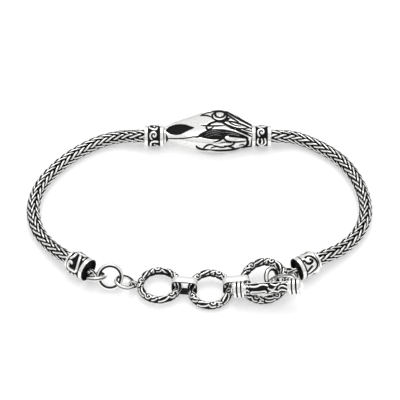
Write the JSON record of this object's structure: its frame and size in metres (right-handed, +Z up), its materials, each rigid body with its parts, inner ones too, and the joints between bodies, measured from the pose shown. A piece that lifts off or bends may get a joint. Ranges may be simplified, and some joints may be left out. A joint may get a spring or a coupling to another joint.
{
  "type": "bracelet",
  "caption": "Silver bracelet with an eagle head in profile between scroll beads, woven chains, cup caps, ornate rings and a toggle bar.",
  "frame": {"origin": "centre of the bounding box, on the table that the bracelet lies on", "axes": "+X along the eagle head from its beak, +Y from the toggle row toward the head, +Z up from the table through the wrist opening"},
  "size_m": [0.0788, 0.0596, 0.0075],
  "materials": {
    "polished_silver": "polished silver",
    "ornate_silver": "polished silver with blackened recesses",
    "woven_silver": "woven silver wire, blackened between the strands"
  },
  "bodies": {
    "root": {"eagle_head": "ornate_silver", "bead_left": "ornate_silver", "bead_right": "ornate_silver", "chain_left": "woven_silver", "chain_right": "woven_silver", "cap_left": "ornate_silver", "cap_right": "ornate_silver", "jump_ring_1": "polished_silver", "jump_ring_2": "polished_silver", "jump_ring_3": "polished_silver", "jump_ring_4": "polished_silver", "jump_ring_5": "polished_silver", "ornate_ring_1": "ornate_silver", "ornate_ring_2": "ornate_silver", "toggle_ring": "ornate_silver", "band_link_1": "polished_silver", "band_link_2": "polished_silver", "toggle_bar": "ornate_silver"}
  },
  "joints": []
}
